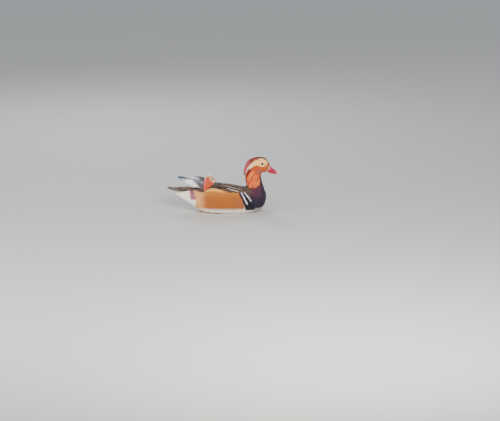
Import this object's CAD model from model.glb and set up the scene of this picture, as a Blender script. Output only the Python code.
# %% [markdown]
# # A mandarin drake, feather by feather
# The bird is a life-size still model that rests on its belly as it floats. Its solids come from a
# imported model, and this lesson dresses them: one smooth skin, then thousands of small feathers
# that follow the lie of the plumage, and then the long feathers of crest, ruff, wings, sails and
# tail, each laid one by one. Work is in millimetres until a mesh is made, with +X towards the
# bill, +Y to the bird's left and +Z up.

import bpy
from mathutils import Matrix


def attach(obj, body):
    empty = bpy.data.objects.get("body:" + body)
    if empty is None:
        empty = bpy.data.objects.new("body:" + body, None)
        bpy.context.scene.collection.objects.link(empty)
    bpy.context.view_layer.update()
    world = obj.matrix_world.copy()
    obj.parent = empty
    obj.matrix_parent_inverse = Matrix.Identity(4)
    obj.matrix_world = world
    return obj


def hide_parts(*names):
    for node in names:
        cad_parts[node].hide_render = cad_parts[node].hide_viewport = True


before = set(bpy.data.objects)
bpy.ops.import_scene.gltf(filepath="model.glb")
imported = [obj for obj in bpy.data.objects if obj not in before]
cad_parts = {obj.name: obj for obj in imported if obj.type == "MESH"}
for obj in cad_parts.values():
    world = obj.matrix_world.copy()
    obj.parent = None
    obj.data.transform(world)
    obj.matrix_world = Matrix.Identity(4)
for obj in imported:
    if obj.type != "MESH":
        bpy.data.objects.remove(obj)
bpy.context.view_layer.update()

# %% [markdown]
# ## Tools
# A few small functions serve every piece. Colours are written as a screen shows them, because
# that is how a painter reads them off a picture, and are turned into the light that shaders use.

# %% Tools
import math

import bmesh
import bpy
import numpy as np
from mathutils import Vector
from mathutils.bvhtree import BVHTree

MM = 0.001
chance = np.random.default_rng(11)


def ramp(value, low, high):
    """0 up to low, 1 from high on, and smooth between them."""
    t = np.clip((np.asarray(value, float) - low) / (high - low), 0, 1)
    return t * t * (3 - 2 * t)


def mix(a, b, share):
    return a + (b - a) * share


def unit(vectors):
    return vectors / np.maximum(np.linalg.norm(vectors, axis=-1, keepdims=True), 1e-9)


def vary(values, share):
    return values * (1 + share * chance.uniform(-1, 1, np.shape(values)))


def rgb(red, green, blue):
    """A colour as a screen shows it, 0 to 255, turned into linear light."""
    c = np.array([red, green, blue]) / 255
    return np.where(c <= 0.04045, c / 12.92, ((c + 0.055) / 1.055) ** 2.4)


print("tools ready")

# %% [markdown]
# ## Curves and forms
# A body reads best as a few measured sections with a smooth curve through them. A centripetal
# Catmull-Rom curve passes through its points without overshooting, and a form takes two numbers:
# t, the share of the way along, and an angle round it. The sections are those of the solids, so
# each feather has a place and a direction that can be named.

# %% Smooth curves
def curve_at(points, t):
    """The place at t, from 0 to 1, on a smooth curve through the points."""
    p = np.asarray(points, float)
    ends = np.vstack([2 * p[0] - p[1], p, 2 * p[-1] - p[-2]])
    spans = len(p) - 1
    place = np.clip(np.asarray(t, float), 0, 1) * spans
    i = np.minimum(place.astype(int), spans - 1)
    w = (place - i)[..., None]
    p0, p1, p2, p3 = (ends[i + k] for k in range(4))
    d0, d1, d2 = (
        np.maximum(np.linalg.norm(b - a, axis=-1, keepdims=True), 1e-4) ** 0.5
        for a, b in ((p0, p1), (p1, p2), (p2, p3))
    )
    out = d1 * ((p1 - p0) / d0 - (p2 - p0) / (d0 + d1)) + p2 - p1
    into = p2 - p1 - d1 * (p3 - p1) / (d1 + d2) + d1 * (p3 - p2) / d2
    return p1 + w * out + w**2 * (3 * (p2 - p1) - 2 * out - into) + w**3 * (2 * (p1 - p2) + out + into)


def rounded(value, power):
    return np.sign(value) * np.abs(value) ** (2 / power)


def lengthwise(stations, power, swell=None):
    """A form from stations of x over, z over, x under, z under and half width."""
    rows = np.array(stations, float)

    def place(t, angle):
        top, bottom = curve_at(rows[:, [0, 1]], t), curve_at(rows[:, [2, 3]], t)
        half = np.maximum(curve_at(rows[:, [0, 4]], t)[..., 1], 0)
        lift = rounded(np.sin(angle), power)
        fuller = 1 + (swell(t, angle) / np.maximum(half, 1) if swell else 0) * (half > 1)
        reach = (top - bottom) / 2 * (lift * mix(1, fuller, np.abs(lift)))[..., None]
        spot = (top + bottom) / 2 + reach
        y = half * rounded(np.cos(angle), power) * fuller
        return np.stack([spot[..., 0], y, spot[..., 1]], -1)

    return place


def upright(stations, power):
    """A form from level stations of z, x in front, x behind and half width."""
    rows = np.array(stations, float)

    def place(t, angle):
        front, back = curve_at(rows[:, [1, 0]], t), curve_at(rows[:, [2, 0]], t)
        half = np.maximum(curve_at(rows[:, [3, 0]], t)[..., 0], 0)
        middle, reach = (front + back) / 2, (front - back)[..., 0] / 2
        x = middle[..., 0] + reach * rounded(np.sin(angle), power)
        return np.stack([x, half * rounded(np.cos(angle), power), middle[..., 1]], -1)

    return place


# %% [markdown]
# The stations below are the bird itself. Torso, head and crest are measured from front to back,
# and the neck from top to bottom, so that each section lies square to the way the form grows.

# %% The forms of the body
TORSO = [
    (146, 52, 146, 52, 0), (140, 71, 139, 27, 30), (119, 80, 118, 8, 45.6), (86, 79, 85, -1, 54.6),
    (50, 79, 50, -3, 58.8), (10, 83, 10, -3, 60), (-30, 86, -30, -2, 58.2), (-65, 83, -65, 4, 50.4),
    (-98, 77, -95, 19, 38.4), (-126, 74, -122, 38, 27), (-152, 73.5, -148, 54, 17.4), (-174, 74, -174, 74, 0),
]
NECK = [
    (152, 112, 112, 0), (147, 133, 88, 16), (134, 130.5, 84, 19), (120, 127.5, 83, 20),
    (106, 130, 83, 21.5), (92, 134, 81, 25), (78, 139, 76, 31), (60, 137, 74, 33), (54, 108, 108, 0),
]
HEAD = [
    (162, 149, 162, 149, 0), (159, 163, 155, 141, 10.9), (150, 177, 146, 136, 16.6),
    (134, 185, 132, 133, 19.5), (114, 183, 115, 131, 19.5), (97, 177, 100, 131, 16.8),
    (86, 164, 89, 134, 11.7), (81, 149, 81, 149, 0),
]
CREST = [
    (156, 168, 156, 168, 0), (144, 182.5, 140, 170, 8), (128, 186.5, 124, 172, 11),
    (110, 185.5, 110, 168, 12.5), (94, 180, 99, 162, 13), (81, 169, 90, 152, 12.5),
    (74, 152, 84, 142, 11), (71.5, 136, 80, 132, 7), (73, 121, 73, 121, 0),
]
CREST_CORE = [
    (150, 170, 150, 170, 0), (140, 182, 138, 168, 6.5), (124, 184.5, 122, 168, 9.5),
    (108, 183, 108, 164, 11), (94, 177, 99, 160, 11), (84, 167, 90, 152, 9), (82, 152, 82, 152, 0),
]
EYE = np.array([133, 15.2, 166.5])
EYE_RADIUS = 4.7
FLANK_RISE = 4.0
WING_RISE = 2.2


def from_top(angle):
    """Degrees round from the ridge of the back."""
    return np.degrees(np.arccos(np.clip(np.sin(angle), -1, 1)))


def dressed_back(t, angle):
    """The flank feathers stand out over the wing's edge, and the folded wings raise the back."""
    away = from_top(angle)
    flank = ramp(away, 40, 48) * (1 - ramp(away, 85, 140)) * ramp(t, 0.19, 0.3) * (1 - ramp(t, 0.62, 0.76))
    wing = (1 - ramp(away, 38, 46)) * ramp(t, 0.26, 0.31) * (1 - ramp(t, 0.5, 0.6))
    return FLANK_RISE * flank + WING_RISE * wing


back_at = lengthwise(TORSO, 2.7)
neck_at = upright(NECK, 2.1)
head_at = lengthwise(HEAD, 2.1)
crest_at = lengthwise(CREST, 2.0)
print("the back is", round(float(back_at(0.5, math.pi / 2)[2])), "mm high half way along")

# %% [markdown]
# ## Markings
# Skin and feathers share one set of markings, so that no seam or thin patch shows the wrong
# colour. The edges of the drake's patches are drawn from the side, as a bird painter would lay
# them out, each as a short outline or line in x and height. Height is taken along the photo's
# line of sight, 13 degrees down, and both sides of the bird are alike.

# %% Patches drawn from the side
SIGHT = 0.231  # how far a point on the side appears lower for each millimetre towards the viewer


def line_distance(spot, line, closed=False):
    """Distance from each spot to a line, and how often a level ray from it crosses the line."""
    corners = np.asarray(line, float)
    pairs = list(zip(corners[:-1], corners[1:]))
    if closed:
        pairs.append((corners[-1], corners[0]))
    best, crossings = np.full(len(spot), 1e9), np.zeros(len(spot), int)
    for a, b in pairs:
        along = np.clip(((spot - a) @ (b - a)) / ((b - a) @ (b - a)), 0, 1)
        best = np.minimum(best, np.linalg.norm(spot - a - along[:, None] * (b - a), axis=1))
        if a[1] != b[1]:
            between = (spot[:, 1] > min(a[1], b[1])) & (spot[:, 1] <= max(a[1], b[1]))
            x_there = a[0] + (spot[:, 1] - a[1]) * (b[0] - a[0]) / (b[1] - a[1])
            crossings += between & (x_there > spot[:, 0])
    return best, crossings


class Paint:
    """A colour for each point, painted over in layers."""

    def __init__(self, points, ground):
        self.x, self.y, self.z = np.asarray(points, float).T
        self.side = np.abs(self.y)
        self.seen = self.z - SIGHT * self.side
        self.spot = np.stack([self.x, self.seen], 1)
        self.colour = np.tile(ground, (len(self.x), 1))

    def within(self, outline, soft):
        """1 inside an outline and 0 outside it, over a soft edge."""
        distance, crossings = line_distance(self.spot, outline, closed=True)
        return ramp(np.where(crossings % 2 == 1, distance, -distance), -soft, soft)

    def beside(self, line, half, soft):
        return 1 - ramp(line_distance(self.spot, line)[0], half - soft, half + soft)

    def over(self, mask, colour):
        self.colour = mix(self.colour, np.asarray(colour), np.asarray(mask, float)[:, None])

    def shade(self, a, b, share):
        """A colour for each point between a and b."""
        return mix(np.asarray(a), np.asarray(b), share[:, None])


print("patches can be painted")

# %% [markdown]
# The head is what people look at first: a cream stripe that runs from the bill over the eye and
# ends as a white point at the nape, a chestnut cheek, and a crest that goes from dark brown in
# front to copper red behind. Later layers cover earlier ones, so the crown comes last.

# %% The head's markings
STRIPE = [
    (66, 116), (69, 127), (76, 132), (80, 142), (83, 150), (87, 155), (92, 160), (97, 165), (103, 171),
    (110, 176), (119, 180), (128, 182), (139, 183), (148, 179), (153, 172), (150, 160), (143, 155),
    (134, 153), (124, 155), (117, 158), (107, 155), (97, 150), (90, 143), (85, 134), (81, 126), (75, 115),
]
FACE = STRIPE[:14] + [(156, 172), (163, 160), (170, 150), (170, 110), (90, 110)]
THROAT = [(114, 141), (124, 144), (133, 138), (131, 130), (124, 126), (115, 131)]
BILL_BASE = [(149, 181), (155, 172), (160, 160), (155, 147), (151, 138)]
CROWN = rgb(50, 38, 28)


def head_colour(points):
    p = Paint(points, rgb(190, 76, 32))
    away = np.hypot(p.x - EYE[0], p.z - EYE[2])
    p.over(ramp(p.x, 108, 136), rgb(182, 86, 34))
    p.over(p.within(THROAT, 5) * 0.7, rgb(152, 96, 80))
    p.over(p.within(STRIPE, 1.6), p.shade(rgb(255, 234, 206), rgb(255, 198, 122), ramp(p.x, 84, 112)))
    p.over(ramp(p.x, 138, 145) * (1 - ramp(p.seen, 150, 168)) * ramp(away, 7.5, 11), rgb(188, 94, 38))
    p.over((1 - ramp(away, 7, 9.5)) * (p.side > 8), rgb(255, 214, 152))
    p.over(p.beside(BILL_BASE, 1.8, 1.2), rgb(240, 204, 156))
    crest = p.shade(rgb(178, 76, 88), rgb(124, 40, 38), ramp(p.x, 80, 104))
    p.over(1 - p.within(FACE, 1.2), p.shade(crest, CROWN, ramp(p.x, 112, 126)))
    p.over((1 - ramp(p.side, 5.5, 8)) * ramp(p.x, 118, 128) * ramp(p.z, 160, 168), CROWN)
    return p.colour


print("head stripe drawn from", len(STRIPE), "points")

# %% [markdown]
# Below the head come the orange ruff, the purple breast with two white bars on black, the golden
# flank that ends in a beige and a mauve band, and the white undertail.

# %% The ruff's and the body's markings
BREAST = [
    (88, 92), (104, 95), (119, 99), (128, 128), (131, 160), (160, 110), (156, 20), (108, -10), (99, 28),
    (80, 66),
]
BLACK = [(51, 79), (60, 77), (74, 73), (90, 50), (103, 26), (110, 0), (78, 0), (66, 34), (54, 60)]
REAR_BAR = [(60, 70), (62, 65), (67, 54), (73, 42), (79, 31), (82, 24)]
FRONT_BAR = [(73, 65), (79, 56), (87, 46), (95, 34)]
FLANK = [
    (-96, 72), (-72, 64), (-62, 65), (-48, 74), (-32, 80), (-20, 75), (6, 66), (31, 65), (53, 66), (61, 50),
    (70, 28), (74, 4), (60, -14), (-100, -14), (-90, 38), (-95, 52),
]
MAUVE = [(-114, 78), (-97, 73), (-94, 52), (-87, 38), (-112, 40)]
UNDERTAIL = [(-182, 78), (-146, 73), (-133, 77), (-113, 73), (-109, 38), (-140, 36), (-170, 56)]
RUMP_EDGE = [(-180, 73), (-146, 75), (-113, 75), (-97, 71), (-80, 64), (-60, 58), (90, 56)]
# the two edges of the ruff are in true height, because the neck is narrow
RUFF_TOP = [(70, 139), (78, 139), (95, 148), (112, 143), (127, 128), (140, 126)]
RUFF_EDGE = [
    (66, 118), (74, 109), (80, 101), (85, 95), (92, 88), (99, 84), (106, 84), (114, 89), (120, 95),
    (126, 105),
]


def height_on(line, x):
    return np.interp(x, *np.array(line).T)


def ruff_colour(points):
    p = Paint(points, rgb(220, 72, 20))
    p.over(ramp(p.x, 106, 122), rgb(210, 96, 30))
    p.over(ramp(p.z, 128, 146), rgb(206, 88, 40))
    p.over((1 - ramp(p.x, 80, 94)) * (1 - ramp(p.z, 100, 125)), rgb(206, 66, 36))
    p.over(ramp(p.x, 122, 126) * (1 - ramp(p.z, 128, 136)), rgb(74, 30, 36))
    return p.colour


def body_colour(points):
    p = Paint(points, rgb(250, 242, 230))
    x, seen, z = p.x, p.seen, p.z
    rump_edge = height_on(RUMP_EDGE, x)
    brown = p.shade(rgb(76, 56, 48), rgb(84, 62, 50), ramp(x, -40, 40))
    p.over(ramp(seen, rump_edge - 1.5, rump_edge + 2.5), brown)
    gold = p.shade(rgb(174, 96, 30), rgb(200, 126, 44), ramp(seen, 40, 74))
    gold = p.shade(gold, rgb(168, 92, 44), ramp(x, 20, 60) * (1 - ramp(seen, 36, 58)))
    gold = p.shade(gold, rgb(240, 176, 80), ramp(seen, 68, 78) * (1 - ramp(x, -34, 10)) * ramp(x, -62, -46))
    gold = p.shade(rgb(226, 162, 98), gold, ramp(x, -80, -50))
    p.over(p.within(FLANK, 2) * ramp(z, 10, 26), gold)
    mauve = p.shade(rgb(158, 92, 106), rgb(120, 72, 74), ramp(seen, 62, 74))
    p.over(p.within(MAUVE, 2) * ramp(z, 26, 38), mauve)
    p.over(p.within(UNDERTAIL, 2) * (1 - ramp(z, 73, 77)), rgb(255, 242, 228))
    purple = p.shade(rgb(38, 28, 46), rgb(84, 42, 60), ramp(seen, 34, 66) * (1 - ramp(x, 124, 140)))
    purple = p.shade(purple, rgb(86, 36, 40), ramp(z, 96, 112) * ramp(x, 118, 128))
    p.over(p.within(BREAST, 4) * ramp(z, 8, 24), purple)
    p.over(ramp(x, 60, 76) * (1 - ramp(x, 92, 104)) * ramp(seen, 54, 66), rgb(84, 62, 50))
    p.over(p.within(BLACK, 1.8) * ramp(z, 6, 18), rgb(22, 20, 32))
    for bar, half in ((REAR_BAR, 1.8), (FRONT_BAR, 1.5)):
        p.over(p.beside(bar, half, 0.7) * ramp(p.side, 26, 28), rgb(244, 240, 250))
    return p.colour


def all_colour(points):
    """The markings of the whole skin."""
    x, _, z = np.asarray(points, float).T
    above_edge, above_top = z - height_on(RUFF_EDGE, x), z - height_on(RUFF_TOP, x)
    on_ruff = ramp(above_edge, -2, 3) * (x < 126) * (x > 66)
    on_head = ramp(above_top, -1, 1) * (x > 66)
    colour = mix(body_colour(points), ruff_colour(points), on_ruff[:, None])
    return mix(colour, head_colour(points), on_head[:, None])


print("body patches:", len([BREAST, BLACK, REAR_BAR, FRONT_BAR, FLANK, MAUVE, UNDERTAIL]))

# %% [markdown]
# ## Finishes
# Real feathers get their look from barbs: fine parallel threads that leave the shaft at a slant.
# One node group draws them from the vane's own map, where u runs across and v from root to tip.
# A second group breaks up flat colour with soft noise in the object's own space. The marking
# itself is stored on the mesh as a colour attribute, which each material reads.

# %% Node helpers
class Nodes:
    """Adds shader nodes to one tree."""

    def __init__(self, tree):
        self.tree = tree

    def fill(self, socket, value):
        if isinstance(value, bpy.types.NodeSocket):
            self.tree.links.new(value, socket)
        else:
            socket.default_value = value

    def put(self, kind, inputs=(), **settings):
        """Adds a node, sets it, fills its inputs by name or number, and gives its outputs."""
        node = self.tree.nodes.new("ShaderNode" + kind)
        for key, value in settings.items():
            setattr(node, key, value)
        for key, value in dict(inputs).items():
            self.fill(node.inputs[key], value)
        return node.outputs

    def calc(self, operation, a, b=0.0, c=0.0, clamp=False):
        return self.put("Math", {0: a, 1: b, 2: c}, operation=operation, use_clamp=clamp)[0]

    def times(self, a, b):
        return self.calc("MULTIPLY", a, b)

    def rise(self, value, start, length):
        """0 up to start, and 1 from a length further on."""
        return self.calc("DIVIDE", self.calc("SUBTRACT", value, start), length, clamp=True)

    def blend(self, factor, a, b, how="MIX"):
        settings = {"data_type": "RGBA", "blend_type": how, "clamp_factor": True}
        return self.put("Mix", {0: factor, 6: a, 7: b}, **settings)[2]

    def use(self, shared, **inputs):
        return self.put("Group", inputs, node_tree=shared)

    def place(self):
        return self.put("TexCoord")["Object"]

    def marking(self):
        return self.put("Attribute", attribute_name="Colour")["Color"]

    def bump(self, height, strength, distance):
        return self.put("Bump", {"Height": height, "Strength": strength, "Distance": distance})[0]


def group(name, inputs, outputs):
    """Starts a node group, and gives its nodes, what it is given and the sockets to fill."""
    tree = bpy.data.node_groups.new(name, "ShaderNodeTree")
    for label, kind, value in inputs:
        socket = tree.interface.new_socket(label, in_out="INPUT", socket_type="NodeSocket" + kind)
        if value is not None:
            socket.default_value = value
    for label, kind in outputs:
        tree.interface.new_socket(label, in_out="OUTPUT", socket_type="NodeSocket" + kind)
    given = tree.nodes.new("NodeGroupInput").outputs
    return Nodes(tree), given, tree.nodes.new("NodeGroupOutput").inputs


print("shader nodes can be placed")

# %% [markdown]
# Drawing every thread would need a picture, so a sine wave over the vane's map stands in for
# them, bent a little by noise. The same group finds the shaft and the edge of the vane from how
# far a point lies from its middle.

# %% Barbs and mottling, shared by every feather
def barbs_group():
    n, given, sink = group(
        "Barbs",
        [("Vane", "Vector", None), ("Count", "Float", 40.0), ("Slant", "Float", 0.35)],
        [("Lines", "Float"), ("Shaft", "Float"), ("Edge", "Float")],
    )
    parts = n.put("SeparateXYZ", {0: given["Vane"]})
    across = n.calc("ABSOLUTE", n.calc("SUBTRACT", parts[0], 0.5))
    slanted = n.calc("SUBTRACT", parts[1], n.times(across, given["Slant"]))
    noise = n.put("TexNoise", {"Vector": given["Vane"], "Scale": 6.0, "Detail": 2.0})[0]
    turns = n.times(n.calc("ADD", slanted, n.times(noise, 0.04)), given["Count"])
    wave = n.calc("SINE", n.times(turns, 2 * math.pi))
    n.fill(sink["Lines"], n.calc("MULTIPLY_ADD", wave, 0.5, 0.5))
    n.fill(sink["Shaft"], n.calc("SUBTRACT", 1.0, n.calc("DIVIDE", across, 0.06), clamp=True))
    n.fill(sink["Edge"], n.rise(across, 0.36, 1 / 7))
    return n.tree


def mottle_group():
    n, given, sink = group(
        "Mottle",
        [("Colour", "Color", (0.5, 0.5, 0.5, 1)), ("Size", "Float", 90.0), ("Amount", "Float", 0.3)],
        [("Colour", "Color")],
    )
    grain = {"Vector": n.place(), "Scale": given["Size"], "Detail": 4.0, "Roughness": 0.6}
    noise = n.put("TexNoise", grain)[0]
    tone = n.calc("MULTIPLY_ADD", n.calc("SUBTRACT", noise, 0.5), given["Amount"], 1.0)
    n.fill(sink["Colour"], n.blend(1.0, given["Colour"], tone, "MULTIPLY"))
    return n.tree


BARBS, MOTTLE = barbs_group(), mottle_group()
print("node groups:", [tree.name for tree in bpy.data.node_groups])

# %% [markdown]
# Each kind of feather has its own finish. Barb lines are many on stiff quills and few on the soft
# face. The body finish adds the wavy dark lines of the flank, the breast gleams blue where it
# turns away, and the hackles of the ruff have pale shafts and dark edges.

# %% Plumage finishes
def material(name, roughness=0.7, sheen=0.0, coat=0.0, coat_roughness=0.2, shine=0.5):
    made = bpy.data.materials.new(name)
    made.use_nodes = True
    shader = made.node_tree.nodes["Principled BSDF"].inputs
    for label, value in {
        "Roughness": roughness, "Sheen Weight": sheen, "Sheen Roughness": 0.4, "IOR": 1.45,
        "Coat Weight": coat, "Coat Roughness": coat_roughness, "Specular IOR Level": shine,
    }.items():
        shader[label].default_value = value
    return made, Nodes(made.node_tree), shader


def plumage(name, count, roughness, sheen, dark=0.12, shaft=0.0, edge=0.0, gleam=None, wavy=0.0):
    """The mesh's marking, with barbs and, if given, a shaft, an edge, a gleam or wavy lines."""
    made, n, shader = material(name, roughness, sheen, shine=0.2)
    vane = n.put("UVMap", uv_map="Vane")[0]
    barb = n.use(BARBS, Vane=vane, Count=count)
    colour = n.use(MOTTLE, Colour=n.marking(), Size=110.0, Amount=0.45)[0]
    colour = n.blend(n.times(barb["Lines"], dark), colour, (0.02, 0.012, 0.008, 1))
    if wavy:
        fine = n.put("Attribute", attribute_name="Fine")["Fac"]
        ripple = {"Vector": vane, "Scale": 5.0, "Distortion": 6.0, "Detail": 2.0, "Detail Scale": 3.0}
        wave = n.put("TexWave", ripple, bands_direction="Y")["Fac"]
        line = n.times(n.calc("POWER", wave, 3.0), n.times(fine, wavy))
        colour = n.blend(line, colour, (0.03, 0.02, 0.012, 1))
    if edge:
        colour = n.blend(n.times(barb["Edge"], edge), colour, (0.03, 0.012, 0.01, 1))
    if shaft:
        colour = n.blend(n.times(barb["Shaft"], shaft), colour, (0.9, 0.72, 0.5, 1), "SCREEN")
    if gleam:
        facing = n.put("LayerWeight", {"Blend": 0.35})["Facing"]
        colour = n.blend(n.times(facing, 0.5), colour, (*gleam, 1))
    n.fill(shader["Base Color"], colour)
    n.fill(shader["Normal"], n.bump(barb["Lines"], 0.35, 0.0002))
    return made


body_plumage = plumage("body plumage", 14.0, 0.75, 0.1, dark=0.06, wavy=0.5)
breast_plumage = plumage("breast plumage", 14.0, 0.5, 0.1, dark=0.06, gleam=(0.03, 0.03, 0.09))
head_plumage = plumage("head plumage", 6.0, 0.7, 0.15, dark=0.08)
crest_plumage = plumage("crest plumage", 22.0, 0.5, 0.1, dark=0.08, shaft=0.05)
hackle_plumage = plumage("hackle plumage", 24.0, 0.55, 0.05, dark=0.08, shaft=0.25, edge=0.5)
edge_plumage = plumage("flank edge plumage", 30.0, 0.75, 0.1, dark=0.06)
wing_plumage = plumage("wing plumage", 44.0, 0.55, 0.03, dark=0.14, shaft=0.06)
quill_plumage = plumage("quill plumage", 90.0, 0.45, 0.02, shaft=0.1)
sail_plumage = plumage("sail plumage", 44.0, 0.6, 0.1, dark=0.26, shaft=0.2)
print("plumage finishes:", [m.name for m in bpy.data.materials if "plumage" in m.name])

# %% [markdown]
# ## Camera, floor and light
# The photo looks along +Y at the bird's right side from about 13 degrees above, through a long
# lens. The camera is aimed so that the bird sits left of the middle of the frame, as there.

# %% Camera
DISTANCE = 7.7
LOOK_DOWN = math.radians(13)
aim = Vector((0.0918, 0.0, 0.0016))


def add_object(name, data):
    made = bpy.data.objects.new(name, data)
    bpy.context.scene.collection.objects.link(made)
    return made


camera_data = bpy.data.cameras.new("camera")
camera_data.sensor_width = 36
camera_data.lens = 163.1
camera_data.clip_end = 100
camera = add_object("camera", camera_data)
camera.location = aim + DISTANCE * Vector((0, -math.cos(LOOK_DOWN), math.sin(LOOK_DOWN)))
camera.rotation_euler = (math.pi / 2 - LOOK_DOWN, 0, 0)
bpy.context.scene.camera = camera
print("camera at", [round(v, 2) for v in camera.location])

# %% [markdown]
# The photo was taken under an open, even sky. A plain pale floor catches the bird's shadow, and
# three large soft lamps do the sky's work: a warm one in front, a weaker one towards the tail,
# and one on the far side that lights the outline.

# %% Floor, lamps and sky
def mesh_of(bm, name):
    """Turns a bmesh into a smooth mesh and frees it."""
    mesh = bpy.data.meshes.new(name)
    bm.to_mesh(mesh)
    bm.free()
    mesh.polygons.foreach_set("use_smooth", [True] * len(mesh.polygons))
    return mesh


bm = bmesh.new()
bmesh.ops.create_grid(bm, x_segments=1, y_segments=1, size=40)
floor = add_object("floor", mesh_of(bm, "floor"))
floor_paint, n, shader = material("floor", 0.85)
n.fill(shader["Base Color"], n.use(MOTTLE, Colour=(0.5, 0.5, 0.49, 1), Size=3.0, Amount=0.03)[0])
floor.data.materials.append(floor_paint)
LIT_POINT = Vector((0, 0, 0.08))
for name, place, size, power, colour in (
    ("key", (0.5, -2.1, 1.2), 0.8, 70, (1, 0.94, 0.86)),
    ("fill", (-1.8, -1.5, 0.6), 1.4, 46, (1, 0.97, 0.94)),
    ("rim", (-0.6, 1.8, 1.6), 1.0, 26, (1, 1, 1)),
):
    lamp = bpy.data.lights.new(name, "AREA")
    lamp.size = size
    lamp.energy = power
    lamp.color = colour
    light = add_object(name, lamp)
    light.location = place
    light.rotation_euler = (LIT_POINT - Vector(place)).to_track_quat("-Z", "Y").to_euler()
world = bpy.data.worlds.new("sky")
world.use_nodes = True
sky = world.node_tree.nodes["Background"].inputs
sky["Color"].default_value = (0.86, 0.9, 0.96, 1)
sky["Strength"].default_value = 0.75
bpy.context.scene.world = world
print("lamps:", [light.name for light in bpy.data.lights])

# %% [markdown]
# ## The skin
# Feathers need a body to sit on. Torso, neck, head and the core of the crest are each lofted
# from a ball, pulled in by the depth of their feathers, and fused by a voxel remesh, so that no
# seam shows between them. Smoothing rounds the joins, and the sockets of the eyes are pressed in.

# %% Loft the forms and fuse them
def loft(bm, place, segments, rings, inset=0.0):
    """Adds a ball shaped by place(t, angle) to bm, and draws it in by the inset."""
    verts = bmesh.ops.create_uvsphere(bm, u_segments=segments, v_segments=rings, radius=1)["verts"]
    t = np.array([math.acos(max(-1, min(1, -v.co.z))) / math.pi for v in verts])
    angle = np.array([math.atan2(v.co.y, v.co.x) for v in verts])
    for vert, spot in zip(verts, place(t, angle)):
        vert.co = spot * MM
    faces = {face for vert in verts for face in vert.link_faces}
    bmesh.ops.recalc_face_normals(bm, faces=list(faces))
    bm.normal_update()
    for vert in verts:
        vert.co -= vert.normal * inset * MM


def new_piece(name, mesh, finish, nodes=()):
    """Puts a finished mesh in the scene and says what it rides on, replaces and is made of."""
    piece = add_object(name, mesh)
    mesh.materials.append(finish)
    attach(piece, "root")
    if nodes:
        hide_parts(*nodes)


bm = bmesh.new()
loft(bm, lengthwise(TORSO, 2.7, dressed_back), 96, 72, 1.4)
loft(bm, neck_at, 48, 40, 1.0)
loft(bm, head_at, 56, 44, 0.8)
loft(bm, lengthwise(CREST_CORE, 2.0), 32, 28, 0.6)
raw = add_object("raw skin", mesh_of(bm, "raw skin"))
fuse = raw.modifiers.new("Fuse", "REMESH")
fuse.mode = "VOXEL"
fuse.voxel_size = 1.7 * MM
soften = raw.modifiers.new("Soften", "SMOOTH")
soften.factor = 0.5
soften.iterations = 10
bpy.context.view_layer.update()
skin_mesh = bpy.data.meshes.new_from_object(raw.evaluated_get(bpy.context.evaluated_depsgraph_get()))
bpy.data.objects.remove(raw)
print("fused skin:", len(skin_mesh.polygons), "faces")

# %% [markdown]
# A bird's eyes lie in shallow sockets, so the skin is pressed in round each of them. It also gets
# the drake's markings, a little darker than the feathers, so that a gap between them reads as
# shade and not as a hole.

# %% Sockets for the eyes, and the skin's markings
FOOTING = 0.6  # the skin stays this far above the floor, and room is left for the belly feathers
SOCKET_DEPTH = 4.5
SKIN_SHADE = 0.8  # how bright the skin's markings are beside those of the feathers
skin_points = np.empty(len(skin_mesh.vertices) * 3, np.float32)
skin_mesh.vertices.foreach_get("co", skin_points)
skin_points = skin_points.reshape(-1, 3).astype(float) / MM
for hand in (-1, 1):
    away = np.hypot(skin_points[:, 0] - EYE[0], skin_points[:, 2] - EYE[2])
    pressed = (1 - ramp(away, 2.5, 5.2)) * (skin_points[:, 1] * hand > 8)
    skin_points[:, 1] -= hand * SOCKET_DEPTH * pressed
skin_points[:, 2] = np.maximum(skin_points[:, 2], FOOTING)
skin_mesh.vertices.foreach_set("co", (skin_points * MM).astype(np.float32).ravel())
skin_mesh.polygons.foreach_set("use_smooth", [True] * len(skin_mesh.polygons))


def store_colour(mesh, colours):
    values = np.ones((len(colours), 4), np.float32)
    values[:, :3] = colours
    mesh.attributes.new("Colour", "FLOAT_COLOR", "POINT").data.foreach_set("color", values.ravel())


store_colour(skin_mesh, all_colour(skin_points) * SKIN_SHADE)
down, n, shader = material("down", 0.9, 0.1)
n.fill(shader["Base Color"], n.use(MOTTLE, Colour=n.marking(), Size=260.0, Amount=0.6)[0])
new_piece("skin", skin_mesh, down, ("torso", "neck", "head"))
skin_tree = BVHTree.FromPolygons(
    [tuple(p) for p in skin_points], [tuple(f.vertices) for f in skin_mesh.polygons]
)
print("skin box in mm:", skin_points.min(0).round(1), skin_points.max(0).round(1))

# %% [markdown]
# ## The lie of the feathers
# A painter thinks of plumage as a flow that starts at the bill and runs to the tail. A few
# anchors say where it points, and every root takes the mean of those near it. A feather then
# walks over the skin in short steps, turning with the flow, so that it hugs the body.

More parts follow.
